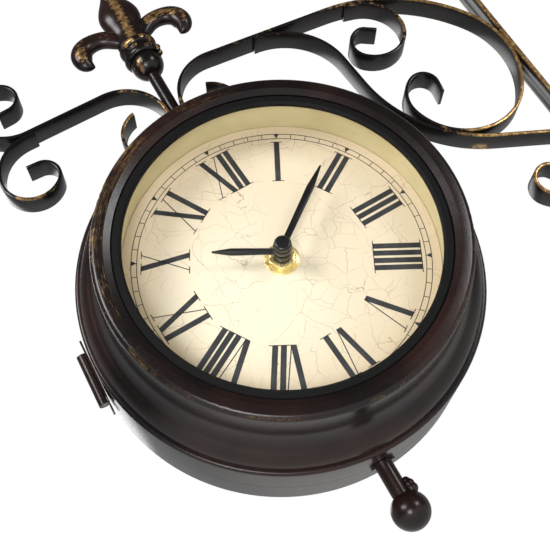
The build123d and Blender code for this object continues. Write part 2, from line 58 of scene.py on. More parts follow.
scene = bpy.context.scene
mm = 0.001
caseCentre = Vector((-0.1925, 0.0, -0.063))  # the frame's origin is on the wall
print("frame loaded")


# shader maths: a wire is a socket, and sums on wires add nodes
class Wire:
    def __init__(self, tree, socket=None):
        self.tree = tree
        self.socket = socket

    def node(self, kind, settings=None, values=None, output=0):
        made = self.tree.nodes.new(kind)
        for name, value in (settings or {}).items():
            setattr(made, name, value)
        for name, value in (values or {}).items():
            if isinstance(value, Wire):
                self.tree.links.new(value.socket, made.inputs[name])
            else:
                made.inputs[name].default_value = value
        return Wire(self.tree, made.outputs[output]) if len(made.outputs) else None

    def maths(self, operation, first, second=0.0, clamp=False):
        settings = {"operation": operation, "use_clamp": clamp}
        return self.node("ShaderNodeMath", settings, {0: first, 1: second})

    def __add__(self, other):
        return self.maths("ADD", self, other)

    def __sub__(self, other):
        return self.maths("SUBTRACT", self, other)

    def __rsub__(self, other):
        return self.maths("SUBTRACT", other, self)

    def __mul__(self, other):
        return self.maths("MULTIPLY", self, other)

    def __truediv__(self, other):
        return self.maths("DIVIDE", self, other)

    def __pow__(self, other):
        return self.maths("POWER", self, other)

    __radd__ = __add__
    __rmul__ = __mul__

    def absolute(self):
        return self.maths("ABSOLUTE", self)

    def atLeast(self, other):
        return self.maths("MAXIMUM", self, other)

    def clamped(self):
        return self.maths("ADD", self, 0.0, clamp=True)

    def ramp(self, low, high, fromValue=0.0, toValue=1.0):
        settings = {"interpolation_type": "SMOOTHSTEP"}
        values = {0: self, 1: low, 2: high, 3: fromValue, 4: toValue}
        return self.node("ShaderNodeMapRange", settings, values)

    def fall(self, low, high):
        return self.ramp(low, high, 1.0, 0.0)

    def blend(self, first, second):
        return self.node("ShaderNodeMix", {"data_type": "RGBA"}, {0: self, 6: first, 7: second}, 2)

    def split(self):
        made = self.tree.nodes.new("ShaderNodeSeparateXYZ")
        self.tree.links.new(self.socket, made.inputs[0])
        return [Wire(self.tree, made.outputs[i]) for i in range(3)]

    def vector(self, operation, other, output=0):
        return self.node("ShaderNodeVectorMath", {"operation": operation}, {0: self, 1: other}, output)

    def noise(self, place, scale, detail=3.0, rough=0.55):
        values = {"Vector": place, "Scale": scale, "Detail": detail, "Roughness": rough}
        return self.node("ShaderNodeTexNoise", {}, values)

    def noiseTint(self, place, scale, detail):
        values = {"Vector": place, "Scale": scale, "Detail": detail}
        return self.node("ShaderNodeTexNoise", {}, values, 1)


def tone(red, green, blue):
    linear = [((c / 255 + 0.055) / 1.055) ** 2.4 if c > 10 else c / 255 / 12.92 for c in (red, green, blue)]
    return (*linear, 1.0)


def startMaterial(name):
    material = bpy.data.materials.new(name)
    material.use_nodes = True
    material.node_tree.nodes.clear()
    wire = Wire(material.node_tree)
    place = wire.node("ShaderNodeTexCoord", {}, {}, "Object")
    return material, wire, place


def closeMaterial(wire, sockets, height=None, depth=0.1 * mm, strength=1.0):
    if height is not None:
        bump = wire.node("ShaderNodeBump", {}, {"Height": height, "Distance": depth, "Strength": strength})
        sockets["Normal"] = bump
    shader = wire.node("ShaderNodeBsdfPrincipled", {}, sockets)
    wire.node("ShaderNodeOutputMaterial", {}, {"Surface": shader})


def fromAxis(place):
    across, rise = place.split()[::2]
    return (across * across + rise * rise) ** 0.5


# how squarely the surface faces the front or the rear
def frontFacing(wire):
    return wire.node("ShaderNodeTexCoord", {}, {}, "Normal").split()[1].absolute()


# settings of the materials: a noise is its scale, detail and roughness, a ramp its start and end
# paint of the bracket and the case: near-black brown satin, rubbed through to bronze in places; the bronze
# also paints a glint on the case's lip and a highlight on the finial's ball
ironPaint = {
    "dark": tone(16, 12, 12),
    "brown": tone(38, 23, 20),
    "black": tone(10, 10, 11),
    "sooty": tone(24, 18, 17),
    "bronze": tone(138, 106, 68),
    "gold": tone(198, 162, 106),
    "cloudNoise": (16.0, 3.0),
    "grainNoise": (420.0, 3.0),
    "peelNoise": (900.0, 2.0),
    "clouded": (0.38, 0.64),
    "gilded": (0.42, 0.7),
    "metallic": 0.65,
    "roughness": 0.15,
    "mottle": 0.1,
    "specular": 0.3,
    "relief": 0.12 * mm,
    "reliefStrength": 0.4,
    "peelRise": 0.4,
    "grainRise": 0.3,
    "wornSink": 0.6,
}


def paintedMaterial(name, wearAndGlintOf, first, second):
    material, wire, place = startMaterial(name)
    cloud = wire.noise(place, *ironPaint["cloudNoise"])
    grain = wire.noise(place, *ironPaint["grainNoise"])
    peel = wire.noise(place, *ironPaint["peelNoise"])
    # the mask is rub through the paint, with a painted glint on the case's lip and a painted highlight on the
    # finial's ball
    wornAndGlint = wearAndGlintOf(wire, place).clamped()
    base = cloud.ramp(*ironPaint["clouded"]).blend(ironPaint[first], ironPaint[second])
    metal = grain.ramp(*ironPaint["gilded"]).blend(ironPaint["bronze"], ironPaint["gold"])
    sockets = {
        "Base Color": wornAndGlint.blend(base, metal),
        "Metallic": wornAndGlint * ironPaint["metallic"],
        "Roughness": (cloud + grain) * ironPaint["mottle"] + ironPaint["roughness"],
        "Specular IOR Level": ironPaint["specular"],
    }
    height = peel * ironPaint["peelRise"] + grain * ironPaint["grainRise"] - wornAndGlint * ironPaint["wornSink"]
    closeMaterial(wire, sockets, height, ironPaint["relief"], ironPaint["reliefStrength"])
    return material


strapRub = {  # bronze along the straps' edges
    "edge": (5.75 * mm, 6.25 * mm),  # from the strap's middle line
    "patchNoise": (13.0, 2.0),
    "grainNoise": (300.0, 5.0, 0.65),
    "grainShare": 0.45,
    "wall": (-90.0 * mm, -30.0 * mm),  # the rub grows towards the wall
    "wallShare": 0.2,
    "rubbed": (0.8, 0.9),
    "fleckNoise": (1100.0, 2.0),
    "flecked": (0.72, 0.78),
    "fleckPatch": (0.5, 0.6),
    "fleckShare": 0.5,
    "chip": Vector((-52.0, 5.0, -34.6)) * mm,  # a bare chip under the brace
    "chipRim": (6.5 * mm, 8.5 * mm),
    "chipRagged": 6.0 * mm,
    "chipGrain": (0.35, 0.55),
}


def strapWear(wire, place):
    along, depth = place.split()[:2]
    patch = wire.noise(place, *strapRub["patchNoise"])
    grain = wire.noise(place, *strapRub["grainNoise"])
    reach = patch + grain * strapRub["grainShare"] + along.ramp(*strapRub["wall"]) * strapRub["wallShare"]
    rubbed = depth.absolute().ramp(*strapRub["edge"]) * reach.ramp(*strapRub["rubbed"])
    fleck = wire.noise(place, *strapRub["fleckNoise"]).ramp(*strapRub["flecked"])
    fleck = fleck * patch.ramp(*strapRub["fleckPatch"]) * strapRub["fleckShare"]
    away = place.vector("DISTANCE", strapRub["chip"], "Value")
    chip = (away + grain * strapRub["chipRagged"]).fall(*strapRub["chipRim"])
    return rubbed.atLeast(fleck).atLeast(chip * grain.ramp(*strapRub["chipGrain"]))


caseRub = {  # streaks on the bezel's upper left, and the rub and a painted glint on its rounded lip
    "face": (78.5 * mm, 81.0 * mm),  # from the axis
    "front": (52.0 * mm, 56.0 * mm),  # from the seam
    "spread": (0.385, 1.375),  # angle from the upper left
    "streakNoise": (3000.0, 3.0),
    "streakLength": 0.0022,
    "patchNoise": (42.0, 3.0),
    "grainNoise": (700.0, 3.0),
    "scuffed": (0.34, 0.58),
    "scored": (0.66, 0.74),
    "scoredShare": 0.45,
    "scuffShare": 0.14,
    "hazy": (0.42, 0.62),
    "hazyShare": 0.13,
    "hazyMix": (0.4, 0.6),  # of grain and streaks
    "fleckNoise": (1200.0, 2.0),
    "flecked": (0.73, 0.79),
    "fleckPatch": (0.45, 0.6),
    "fleckShare": 0.3,
    "lip": (85.7 * mm, 60.0 * mm),  # from the axis and from the seam
    "lipWidth": (0.4 * mm, 1.1 * mm),
    "lipRubbed": (0.68, 0.8),
    "lipGrain": 0.4,
    "lipShare": (0.15, 0.6),  # all round, and more at the upper left
}


def caseWearAndGlint(wire, place):
    centred = place.vector("SUBTRACT", caseCentre)
    x, y, z = centred.split()
    radius = fromAxis(centred)
    depth = y.absolute()
    around = wire.maths("ARCTAN2", x + z, z - x)  # nought at the upper left
    rolled = {0: radius, 1: around * caseRub["streakLength"], 2: depth}
    streaks = wire.noise(wire.node("ShaderNodeCombineXYZ", {}, rolled), *caseRub["streakNoise"])
    patch = wire.noise(place, *caseRub["patchNoise"])
    grain = wire.noise(place, *caseRub["grainNoise"])
    near = around.absolute().fall(*caseRub["spread"])
    face = radius.ramp(*caseRub["face"]) * depth.ramp(*caseRub["front"]) * near
    scuffed = face * patch.ramp(*caseRub["scuffed"])
    scored = face * (streaks + scuffed * caseRub["scuffShare"]).ramp(*caseRub["scored"])
    mixed = grain * caseRub["hazyMix"][0] + streaks * caseRub["hazyMix"][1]
    hazy = scuffed * mixed.ramp(*caseRub["hazy"]) * caseRub["hazyShare"]
    fleck = wire.noise(place, *caseRub["fleckNoise"]).ramp(*caseRub["flecked"])
    fleck = fleck * patch.ramp(*caseRub["fleckPatch"]) * caseRub["fleckShare"]
    # the lip's mark is rubbed bronze and also a painted glint along the rounded edge, all round and more at
    # the upper left
    outward = radius - caseRub["lip"][0]
    forward = depth - caseRub["lip"][1]
    lip = ((outward * outward + forward * forward) ** 0.5).fall(*caseRub["lipWidth"])
    lipRubAndGlint = lip * (patch + grain * caseRub["lipGrain"]).ramp(*caseRub["lipRubbed"])
    lipRubAndGlint = lipRubAndGlint * (near * caseRub["lipShare"][1] + caseRub["lipShare"][0])
    return (scored * caseRub["scoredShare"]).atLeast(hazy).atLeast(fleck).atLeast(lipRubAndGlint)


fleurRub = {  # a streak down the middle of the finial and the crests of its petals
    "patchNoise": (60.0, 3.0),
    "tornNoise": (640.0, 4.0, 0.7),
    "tornStretch": (0.3, 0.5, 1.8),
    "torn": (0.79, 0.88),
    "streakWidth": (0.0, 7.04 * mm),
    "streakFacing": (0.55, 0.8),
    "petals": (9.0 * mm, 12.0 * mm),
    "crestFacing": (0.72, 0.98),
    "crestPatch": (0.36, 0.56),
    "crestShare": 0.8,
    "reachShare": 0.42,
}


def fleurWear(wire, place):
    facing = frontFacing(wire)
    across = place.vector("SUBTRACT", caseCentre).split()[0].absolute()
    torn = wire.noise(place.vector("MULTIPLY", fleurRub["tornStretch"]), *fleurRub["tornNoise"])
    patch = wire.noise(place, *fleurRub["patchNoise"])
    ridge = across.fall(*fleurRub["streakWidth"]) * facing.ramp(*fleurRub["streakFacing"])
    petals = across.ramp(*fleurRub["petals"])
    crest = petals * facing.ramp(*fleurRub["crestFacing"]) * patch.ramp(*fleurRub["crestPatch"])
    reach = ridge.atLeast(crest * fleurRub["crestShare"]) * fleurRub["reachShare"] + torn
    return reach.ramp(*fleurRub["torn"]) * ridge.atLeast(petals)


roundRub = {  # smears on the finial's ball and collar, partly a painted highlight where they face the front or the rear, and flecks on all round pieces
    "smearNoise": (150.0, 4.0, 0.6),
    "smearStretch": (1.0, 1.0, 0.7),
    "smeared": (0.66, 0.76),
    "facingShare": 0.16,
    "high": (151.0 * mm, 156.0 * mm),  # above the case's middle
    "fleckNoise": (900.0, 2.0),
    "flecked": (0.72, 0.78),
    "fleckSmear": (0.5, 0.62),
    "fleckShare": 0.5,
}


def roundWearAndHighlight(wire, place):
    facing = frontFacing(wire)
    smear = wire.noise(place.vector("MULTIPLY", roundRub["smearStretch"]), *roundRub["smearNoise"])
    high = place.vector("SUBTRACT", caseCentre).split()[2].ramp(*roundRub["high"])
    # the smear grows where the finial's ball and collar face the front or the rear: rub, and a painted
    # highlight as well
    wornAndGlint = (smear + facing * high * roundRub["facingShare"]).ramp(*roundRub["smeared"])
    fleck = wire.noise(place, *roundRub["fleckNoise"]).ramp(*roundRub["flecked"]) * roundRub["fleckShare"]
    return (wornAndGlint * high).atLeast(fleck * smear.ramp(*roundRub["fleckSmear"]))


strapPaint = paintedMaterial("strap_paint", strapWear, "black", "sooty")
casePaint = paintedMaterial("case_paint", caseWearAndGlint, "dark", "brown")
fleurPaint = paintedMaterial("fleur_paint", fleurWear, "dark", "brown")
roundPaint = paintedMaterial("round_paint", roundWearAndHighlight, "dark", "brown")


# finishes of one kind: a stain between two tones over a fine grain
def plainMaterial(name, settings):
    material, wire, place = startMaterial(name)
    stain = wire.noise(place, *settings["stainNoise"])
    brushed = place.vector("MULTIPLY", settings.get("brushing", (1.0, 1.0, 1.0)))
    grain = wire.noise(brushed, *settings["grainNoise"])
    mottle = grain if settings.get("mottledByGrain") else stain
    sockets = {
        "Base Color": stain.ramp(*settings["stained"]).blend(*settings["tones"]),
        "Roughness": mottle * settings["mottle"] + settings["roughness"],
        "Metallic": settings.get("metallic", 0.0),
        "Specular IOR Level": settings.get("specular", 0.5),
    }
    closeMaterial(wire, sockets, grain, settings["relief"])
    return material


steel = {
    "tones": (tone(168, 168, 166), tone(128, 127, 124)),
    "stainNoise": (90.0, 4.0),
    "stained": (0.4, 0.65),
    "grainNoise": (600.0, 3.0),
    "brushing": (1.0, 14.0, 1.0),
    "roughness": 0.34,
    "mottle": 0.2,
    "metallic": 1.0,
    "relief": 0.05 * mm,
}
rubber = {
    "tones": (tone(7, 7, 8), tone(16, 15, 15)),
    "stainNoise": (700.0, 4.0),
    "stained": (0.5, 0.75),
    "grainNoise": (700.0, 4.0),
    "roughness": 0.5,
    "mottle": 0.2,
    "specular": 0.15,
    "relief": 0.08 * mm,
}
panCream = {
    "tones": (tone(208, 197, 155), tone(200, 186, 140)),
    "stainNoise": (34.0, 4.0),
    "stained": (0.4, 0.7),
    "grainNoise": (700.0, 2.0),
    "roughness": 0.45,
    "mottle": 0.1,
    "relief": 0.05 * mm,
}
plastic = {
    "stainNoise": (50.0, 2.0),
    "stained": (0.4, 0.6),
    "mottledByGrain": True,
    "mottle": 0.12,
    "relief": 0.06 * mm,
}
housing = {"tones": (tone(34, 34, 35), tone(46, 46, 47)), "roughness": 0.45, "grainNoise": (1500.0, 3.0)}
sleeve = {"tones": (tone(120, 126, 132), tone(134, 139, 144)), "roughness": 0.28, "grainNoise": (300.0, 3.0)}
setWheel = {"tones": (tone(226, 224, 214), tone(214, 211, 198)), "roughness": 0.4, "grainNoise": (900.0, 3.0)}
ink = {
    "stainNoise": (120.0, 4.0),
    "stained": (0.4, 0.68),
    "grainNoise": (1500.0, 2.0),
    "mottle": 0.12,
    "relief": 0.03 * mm,
}
handBlack = {"tones": (tone(10, 10, 11), tone(20, 19, 19)), "roughness": 0.26}
numeralBlack = {"tones": (tone(34, 36, 40), tone(52, 53, 55)), "roughness": 0.5}

brass = {
    "tones": (tone(250, 228, 158), tone(226, 194, 118)),
    "tarnishNoise": (180.0, 3.0),
    "tarnished": (0.45, 0.75),
    "turning": 18000.0,  # turned grooves, as radians to the metre
    "metallic": 0.75,
    "roughness": 0.26,
    "mottle": 0.1,
    "relief": 0.01 * mm,
}


def brassMaterial():
    material, wire, place = startMaterial("turned_brass")
    radius = fromAxis(place.vector("SUBTRACT", caseCentre))
    rings = wire.maths("SINE", radius * brass["turning"])
    tarnish = wire.noise(place, *brass["tarnishNoise"]).ramp(*brass["tarnished"])
    sockets = {
        "Base Color": tarnish.blend(*brass["tones"]),
        "Metallic": brass["metallic"],
        "Roughness": tarnish * brass["mottle"] + brass["roughness"],
    }
    closeMaterial(wire, sockets, rings, brass["relief"])
    return material


dialPaint = {
    # middle is the tone of the painted pool of light round the palest spot, field the tone further off
    "middle": tone(228, 218, 192),
    "field": tone(216, 202, 175),
    "rim": tone(202, 182, 151),
    "crack": tone(146, 112, 86),
    "radius": 75.5 * mm,
    # the dial is palest round this spot: a painted pool of light, fading to the field tone
    "palest": Vector((-26.0, 0.0, -14.0)) * mm,
    "stainNoise": (26.0, 4.0),
    "yellowed": (0.25, 1.0),  # shares of the radius
    "yellowStain": 0.25,
    "rimmed": (0.68, 1.08),
    "rimStain": (0.3, 0.9),  # how much without the stain, and with it
    "cells": (  # sizes of the crackle: cells to the metre and their stretch
        (38.0, (1.0, 1.0, 0.6)),
        (50.0, (0.6, 1.0, 1.0)),
        (90.0, (1.0, 1.0, 1.0)),
    ),
    "warps": (((46.0, 1.0), 14.0 * mm), ((240.0, 2.0), 2.2 * mm)),  # noises that bend the cracks so far
    "comeNoise": (40.0, 2.0),  # where the cracks come and go
    "come": (0.42, 0.56),
    "crackWidth": 0.0001,
    "crackCore": 0.3,
    "crackShare": 0.6,
    "roughness": 0.5,
    "mottle": 0.15,
    "relief": 0.04 * mm,
    "reliefStrength": 0.4,
}


def printMaterial():
    material, wire, place = startMaterial("cracked_print")
    centred = place.vector("SUBTRACT", caseCentre)
    radius = fromAxis(centred) / dialPaint["radius"]
    away = fromAxis(centred.vector("SUBTRACT", dialPaint["palest"])) / dialPaint["radius"]
    warped = centred
    for noise, reach in dialPaint["warps"]:
        bend = wire.noiseTint(centred, *noise).vector("SUBTRACT", (0.5, 0.5, 0.5))
        warped = warped.vector("ADD", bend.vector("MULTIPLY", (reach, reach, reach)))
    masks = wire.noiseTint(centred, *dialPaint["comeNoise"]).split()
    lines = None
    for (scale, stretch), mask in zip(dialPaint["cells"], masks):
        values = {"Vector": warped.vector("MULTIPLY", stretch), "Scale": scale}
        edges = wire.node("ShaderNodeTexVoronoi", {"feature": "DISTANCE_TO_EDGE"}, values)
        wide = dialPaint["crackWidth"] * scale  # a crack is as wide in small cells as in large ones
        crack = edges.fall(wide * dialPaint["crackCore"], wide) * mask.ramp(*dialPaint["come"])
        lines = crack if lines is None else lines.atLeast(crack)
    stain = wire.noise(centred, *dialPaint["stainNoise"])
    # a painted pool of light round the palest spot, made uneven by the stain noise, then darker beige towards
    # the rim
    yellowed = (away + stain * dialPaint["yellowStain"]).ramp(*dialPaint["yellowed"])
    field = yellowed.blend(dialPaint["middle"], dialPaint["field"])
    stained = stain * dialPaint["rimStain"][1] + dialPaint["rimStain"][0]
    rimmed = (radius.ramp(*dialPaint["rimmed"]) * stained).clamped()
    paintedLightAndRim = rimmed.blend(field, dialPaint["rim"])
    sockets = {
        "Base Color": (lines * dialPaint["crackShare"]).blend(paintedLightAndRim, dialPaint["crack"]),
        "Roughness": stain * dialPaint["mottle"] + dialPaint["roughness"],
    }
    closeMaterial(wire, sockets, lines * -1.0, dialPaint["relief"], dialPaint["reliefStrength"])
    return material


# a clear pane: its sheen grows the flatter the pane is seen, alike on both of its sides
pane = {
    "tone": tone(245, 250, 250),
    "straight": 0.014,
    "grazing": 0.6,
    "steepness": 5.0,
    "dustNoise": (80.0, 5.0),
    "dusty": (0.5, 0.8),
    "dust": 0.012,
    "roughness": 0.03,
}


def glassMaterial():
    material, wire, place = startMaterial("flat_glass")
    facing = wire.node("ShaderNodeLayerWeight", {}, {"Blend": 0.5}, "Facing")
    sheen = facing ** pane["steepness"] * pane["grazing"] + pane["straight"]
    dust = wire.noise(place, *pane["dustNoise"]).ramp(*pane["dusty"]) * pane["dust"]
    sockets = {
        "Base Color": pane["tone"],
        "Metallic": 1.0,
        "Roughness": dust + pane["roughness"],
        "Alpha": sheen + dust,
    }
    closeMaterial(wire, sockets)
    return material


finishes = {
    "bracket_iron": roundPaint,
    "case_steel": casePaint,
    "fittings_steel": plainMaterial("zinc_steel", steel),
    "glass": glassMaterial(),
    "gasket_rubber": plainMaterial("black_rubber", rubber),
    "pan_paint": plainMaterial("cream_paint", panCream),
    "dial_print": printMaterial(),
    "movement_plastic": plainMaterial("movement_plastic", {**plastic, **housing}),
    "battery_sleeve": plainMaterial("battery_sleeve", {**plastic, **sleeve}),
    "brass": brassMaterial(),
    "hand_black": plainMaterial("hand_paint", {**ink, **handBlack}),
    "knob_white": plainMaterial("white_plastic", {**plastic, **setWheel}),
}
numeralInk = plainMaterial("numeral_ink", {**ink, **numeralBlack})
print("materials made")

slotOf = {part["node"]: part["material_slot"] for part in frame["record"]["subparts"]}
for name, node in frame["nodes"].items():
    node.data.materials.clear()
    node.data.materials.append(fleurPaint if name == "fleur_finial" else finishes[slotOf[name]])


# pieces
def newPiece(name, mesh, material, body):
    piece = bpy.data.objects.new(name, mesh)
    scene.collection.objects.link(piece)
    mesh.materials.clear()
    mesh.materials.append(material)
    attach(piece, body)
    return piece


# a copy that shows instead of a CAD node, on the same body
def insteadOf(name, suffix, mesh, material):
    piece = newPiece(name + suffix, mesh, material, frame["nodes"][name]["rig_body"])
    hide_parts(name)


def smoothed(mesh, angle=32):
    mesh.shade_smooth()
    mesh.set_sharp_from_angle(angle=math.radians(angle))
    return mesh


def fromForm(name, form):
    mesh = bpy.data.meshes.new(name)
    bmesh.ops.recalc_face_normals(form, faces=form.faces)
    form.to_mesh(mesh)
    form.free()
    return smoothed(mesh)


def evaluatedMesh(holder, name):
    bpy.context.view_layer.update()
    graph = bpy.context.evaluated_depsgraph_get()
    mesh = bpy.data.meshes.new_from_object(holder.evaluated_get(graph), depsgraph=graph)
    mesh.name = name
    for modifier in list(holder.modifiers):
        holder.modifiers.remove(modifier)
    bpy.data.objects.remove(holder)
    return mesh


wornEdges = {
    "merge": 0.002 * mm,
    "flat": 1.0,  # angles in degrees
    "sharp": 38.0,
    "shaded": 40.0,
    "segments": 2,
    "kinds": (  # radius of the edge, the finish and the nodes
        (
            0.5 * mm,
            strapPaint,
            ("wall_bar", "arm_right", "arm_left", "scroll_right", "scroll_left", "brace_scroll"),
        ),
        (0.3 * mm, finishes["brass"], ("front_nut", "rear_nut")),
        (0.2 * mm, finishes["brass"], ("front_washer", "rear_washer")),
        (
            0.12 * mm,
            finishes["hand_black"],
            ("front_hour_hand", "rear_hour_hand", "front_minute_hand", "rear_minute_hand"),
        ),
    ),
}


def roundedMesh(name, radius):
    mesh = frame["nodes"][name].data.copy()
    for extra in ("custom_normal", "sharp_face", "sharp_edge"):
        if extra in mesh.attributes:
            mesh.attributes.remove(mesh.attributes[extra])
    form = bmesh.new()
    form.from_mesh(mesh)
    bmesh.ops.remove_doubles(form, verts=form.verts, dist=wornEdges["merge"])
    flat = math.radians(wornEdges["flat"])
    bmesh.ops.dissolve_limit(form, angle_limit=flat, verts=form.verts, edges=form.edges)
    form.to_mesh(mesh)
    form.free()
    holder = bpy.data.objects.new("holder", mesh)
    scene.collection.objects.link(holder)
    bevel = holder.modifiers.new("bevel", "BEVEL")
    bevel.width = radius
    bevel.segments = wornEdges["segments"]
    bevel.limit_method = "ANGLE"
    bevel.angle_limit = math.radians(wornEdges["sharp"])
    bevel.use_clamp_overlap = True
    return smoothed(evaluatedMesh(holder, name + "_rounded"), wornEdges["shaded"])


for radius, material, names in wornEdges["kinds"]:
    for name in names:
        insteadOf(name, "_rounded", roundedMesh(name, radius), material)
print("edges rounded")


turnedShading = {
    "names": ("front_case", "rear_case"),
    "ring": 0.05 * mm,  # corners on one ring have the same radius and depth to this
    "across": 0.8,  # faces that look round the axis more than this are cuts
    "alike": 0.945,  # normals nearer than this, as a cosine, are one surface's
    "fewest": 60,
}


# the case halves are turned shapes, so their shading is evened out round the axis
def turnedMesh(name):
    mesh = frame["nodes"][name].data.copy()
    shading = [corner.vector.copy() for corner in mesh.corner_normals]
    rings = {}
    for face in mesh.polygons:
        middle = face.center - caseCentre
        around = Vector((-middle.z, 0.0, middle.x)).normalized()
        if abs(face.normal.dot(around)) > turnedShading["across"]:
            continue
        for corner in face.loop_indices:
            place = mesh.vertices[mesh.loops[corner].vertex_index].co - caseCentre
            outward = Vector((place.x, 0.0, place.z))
            ring = (round(outward.length / turnedShading["ring"]), round(place.y / turnedShading["ring"]))
            outward.normalize()
            normal = shading[corner]
            rings.setdefault(ring, []).append((corner, outward, normal.dot(outward), normal.y))
    for members in rings.values():
        if len(members) < turnedShading["fewest"]:
            continue
        flat = numpy.array([member[2:] for member in members])
        flat /= numpy.linalg.norm(flat, axis=1, keepdims=True)
        means = (flat @ flat.T > turnedShading["alike"]).astype(float) @ flat
        for (corner, outward, *_), (across, along) in zip(members, means):
            shading[corner] = (outward * across + Vector((0.0, along, 0.0))).normalized()
    mesh.normals_split_custom_set(shading)
    return mesh


for name in turnedShading["names"]:
    insteadOf(name, "_turned", turnedMesh(name), casePaint)
print("case shading evened")


# numerals and minute track of both dials
dialArt = {
    "cardDepth": 34.65 * mm,
    "lift": 0.02 * mm,
    "ink": 0.05 * mm,
    "turn": math.radians(4.06),  # the card sits slightly turned in its pan
    "foot": 43.2 * mm,
    "top": 66.3 * mm,
    "thick": 2.7 * mm,
    "thin": 0.5 * mm,
    "serif": 0.4 * mm,
    "serifReach": 1.6 * mm,
}
# strokes of each numeral: T thick, t thin, V where two meet at the foot; top and foot in mm from its middle
numerals = {
    12: [("T", -5.7, 1.0), ("t", 1.7, -6.6), ("T", 4.2, 4.2), ("T", 8.0, 8.0)],
    1: [("T", 0.0, 0.0)],
    2: [("T", -1.9, -1.9), ("T", 2.1, 2.1)],
    3: [("T", -3.6, -3.6), ("T", 0.3, 0.3), ("T", 4.3, 4.3)],
    4: [("T", -5.6, -5.6), ("T", -1.8, -1.8), ("T", 2.1, 2.1), ("T", 5.8, 5.8)],
    5: [("VT", -3.4, -0.5), ("Vt", 4.8, 0.4)],
    6: [("VT", -7.0, -2.9), ("Vt", 1.8, -2.0), ("T", 4.3, 4.3)],
    7: [("VT", -7.5, -3.4), ("Vt", 0.2, -2.5), ("T", 2.4, 0.9), ("T", 6.6, 4.8)],
    8: [("VT", -10.0, -5.3), ("Vt", -2.8, -4.5), ("T", 0.2, -0.9), ("T", 3.8, 2.7), ("T", 7.3, 6.2)],
    9: [("T", -6.4, -6.4), ("T", -1.6, 4.7), ("t", 5.9, -3.3)],
    10: [("T", -3.0, 3.8), ("t", 4.2, -4.2)],
    11: [("T", -6.6, 2.2), ("t", 1.7, -6.2), ("T", 6.0, 5.0)],
}


def prism(form, outline, near, far):
    low = [form.verts.new((x, near, z)) for x, z in outline]
    high = [form.verts.new((x, far, z)) for x, z in outline]
    form.faces.new(low)
    form.faces.new(list(reversed(high)))
    for i in range(len(outline)):
        j = (i + 1) % len(outline)
        form.faces.new((low[i], high[i], high[j], low[j]))


def dialPoint(hour, across, out):
    angle = math.radians(90 - 30 * hour) + dialArt["turn"]
    radial = Vector((math.cos(angle), math.sin(angle)))
    side = Vector((radial.y, -radial.x))
    spot = radial * out + side * across
    return (spot.x, spot.y)


def numeralForm():
    form = bmesh.new()
    near = -dialArt["cardDepth"] - dialArt["lift"] - dialArt["ink"]
    far = near + dialArt["ink"]
    top, foot, serif = dialArt["top"], dialArt["foot"], dialArt["serif"]
    for hour, strokes in numerals.items():
        for kind, topAcross, footAcross in strokes:
            half = (dialArt["thick"] if "T" in kind else dialArt["thin"]) / 2
            a, b = topAcross * mm, footAcross * mm
            stroke = [(a - half, top), (a + half, top), (b + half, foot), (b - half, foot)]
            prism(form, [dialPoint(hour, *corner) for corner in stroke], near, far)
            reach = half + dialArt["serifReach"]
            ends = [(a, top, top - serif)]
            if "V" not in kind:
                ends.append((b, foot, foot + serif))
            for middle, edge, inside in ends:
                left, right = middle - reach, middle + reach
                bar = [(left, edge), (right, edge), (right, inside), (left, inside)]
                prism(form, [dialPoint(hour, *corner) for corner in bar], near, far)
    return form


def forSide(form, side):
    if side == "rear":  # the rear dial is the front one turned about the upright axis
        bmesh.ops.rotate(form, verts=form.verts, cent=(0, 0, 0), matrix=Matrix.Rotation(math.pi, 3, "Z"))
    bmesh.ops.translate(form, verts=form.verts, vec=caseCentre)
    return form


dialBody = {"front": "front_half", "rear": "bracket_and_rear_half"}
for side, body in dialBody.items():
    mesh = fromForm(side + "_numerals", forSide(numeralForm(), side))
    newPiece(side + "_numerals", mesh, numeralInk, body)
print("numerals drawn")


# geometry nodes: a small builder for trees with named inputs
def newTree(name, inputs):
    tree = bpy.data.node_groups.new(name, "GeometryNodeTree")
    tree.interface.new_socket("Geometry", in_out="INPUT", socket_type="NodeSocketGeometry")
    for label, value in inputs.items():
        kind = "NodeSocketInt" if isinstance(value, int) else "NodeSocketFloat"
        socket = tree.interface.new_socket(label, in_out="INPUT", socket_type=kind)
        socket.default_value = value
    tree.interface.new_socket("Geometry", in_out="OUTPUT", socket_type="NodeSocketGeometry")
    entry = tree.nodes.new("NodeGroupInput")
    wires = {socket.name: Wire(tree, socket) for socket in entry.outputs if socket.name}
    return tree, Wire(tree), wires


def closeTree(wire, geometry, material):
    real = wire.node("GeometryNodeRealizeInstances", {}, {"Geometry": geometry})
    finished = wire.node("GeometryNodeSetMaterial", {}, {"Geometry": real, "Material": material})
    end = wire.tree.nodes.new("NodeGroupOutput")
    wire.tree.links.new(finished.socket, end.inputs[0])


def grown(tree, name, settings, seed=None):
    holder = bpy.data.objects.new("holder", seed or bpy.data.meshes.new("seed"))
    scene.collection.objects.link(holder)
    modifier = holder.modifiers.new("grow", "NODES")
    modifier.node_group = tree
    for item in tree.interface.items_tree:
        if item.item_type == "SOCKET" and item.in_out == "INPUT" and item.name in settings:
            modifier[item.identifier] = settings[item.name]
    return evaluatedMesh(holder, name)


minuteTrack = {
    "Outer radius": 70.9 * mm,
    "Inner radius": 68.2 * mm,
    "Line width": 0.35 * mm,
    "Ink": dialArt["ink"],
    "Minutes": 60,
    "Hours": 12,
    "Mark base": 2.6 * mm,
    "Mark height": 2.7 * mm,
    "Smoothness": 240,
}


